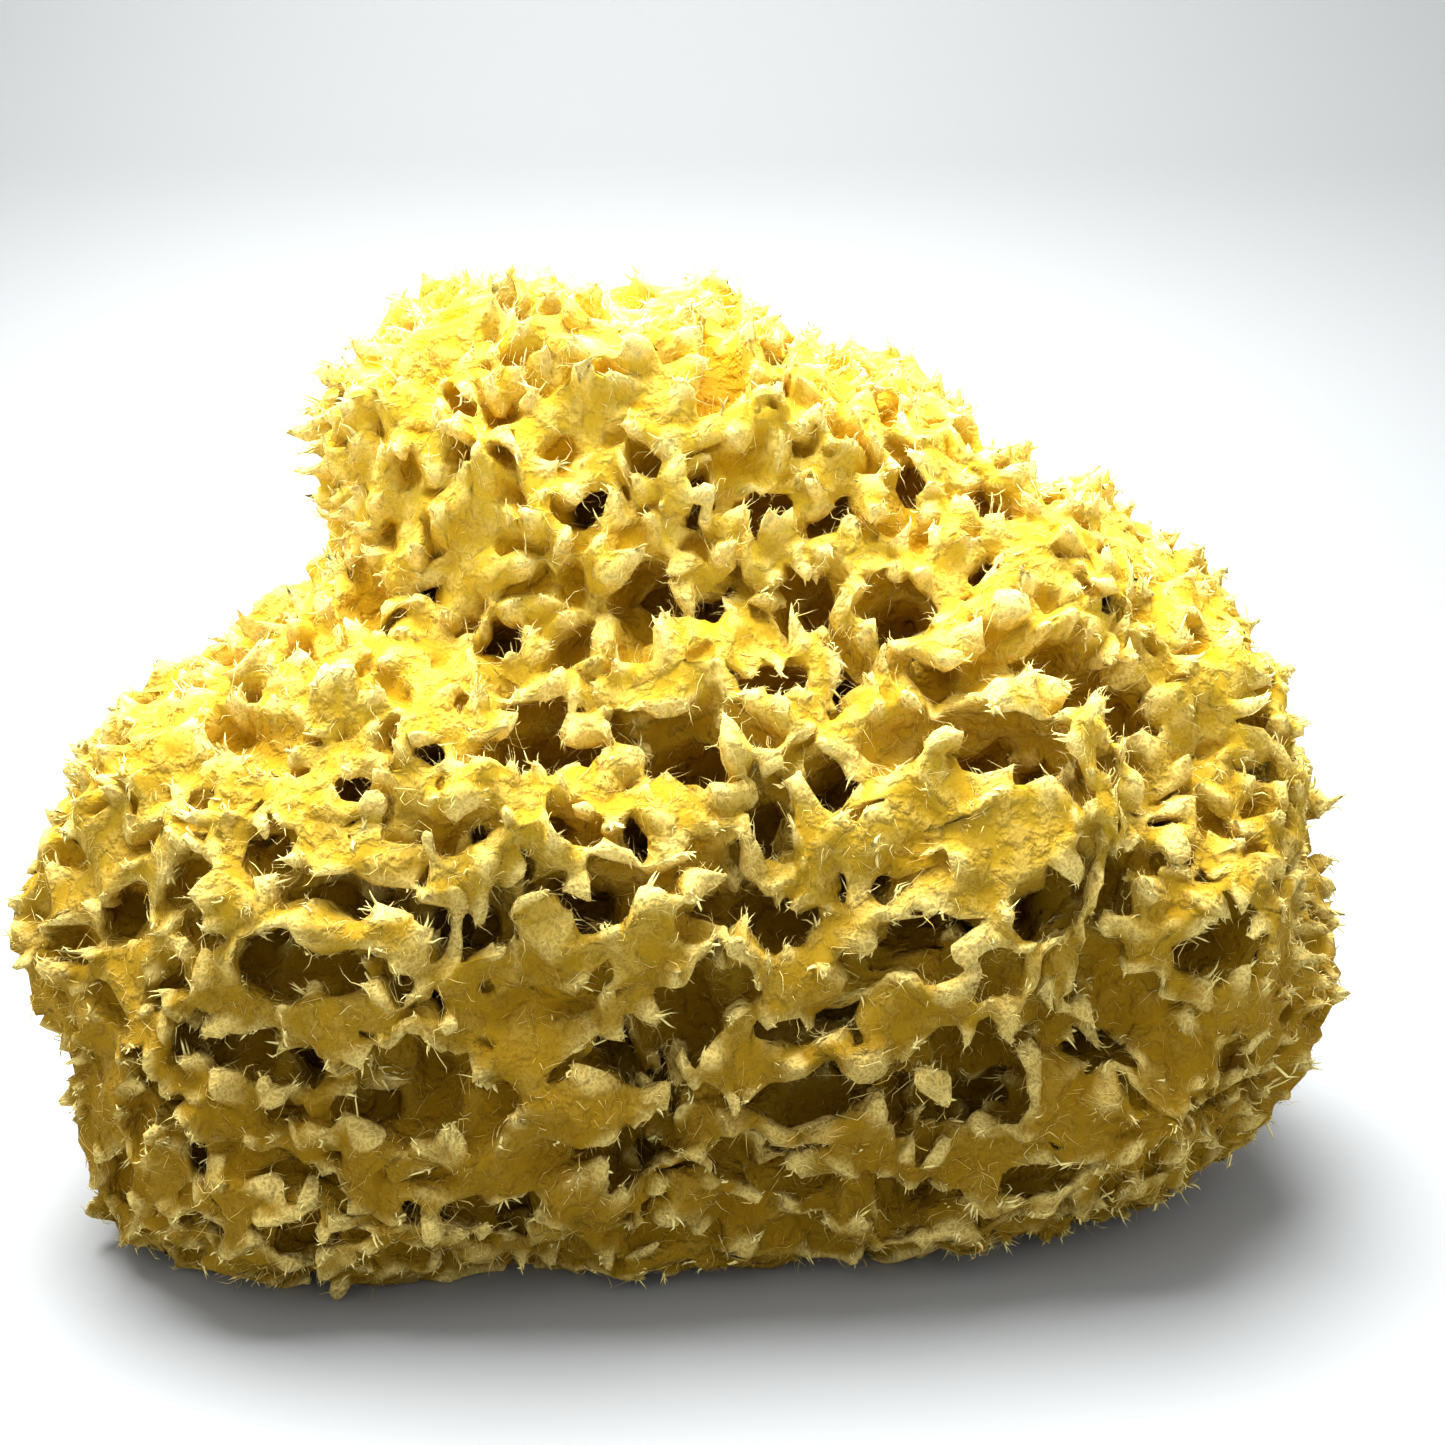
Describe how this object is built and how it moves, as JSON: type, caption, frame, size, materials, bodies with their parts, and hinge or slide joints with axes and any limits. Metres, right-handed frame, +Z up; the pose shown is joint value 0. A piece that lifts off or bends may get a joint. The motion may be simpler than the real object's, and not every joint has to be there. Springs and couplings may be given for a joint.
{
  "type": "sea sponge",
  "caption": "Dried natural honeycomb bath sponge: a rounded body with a raised head, canals opening all over its skin, and a flat cut to rest on.",
  "frame": {"origin": "middle of the body's bounding box, at the height of the flat cut that it rests on", "axes": "+Z up from the cut; +X along the longest way, from the low left belly to the right shoulder; -Y towards the front"},
  "size_m": [0.1466, 0.098, 0.1029],
  "materials": {
    "spongin": "matt felted fibre, pale cream on the outer tufts and amber brown down the canals"
  },
  "bodies": {
    "root": {"sponge_body": "spongin"}
  },
  "joints": []
}
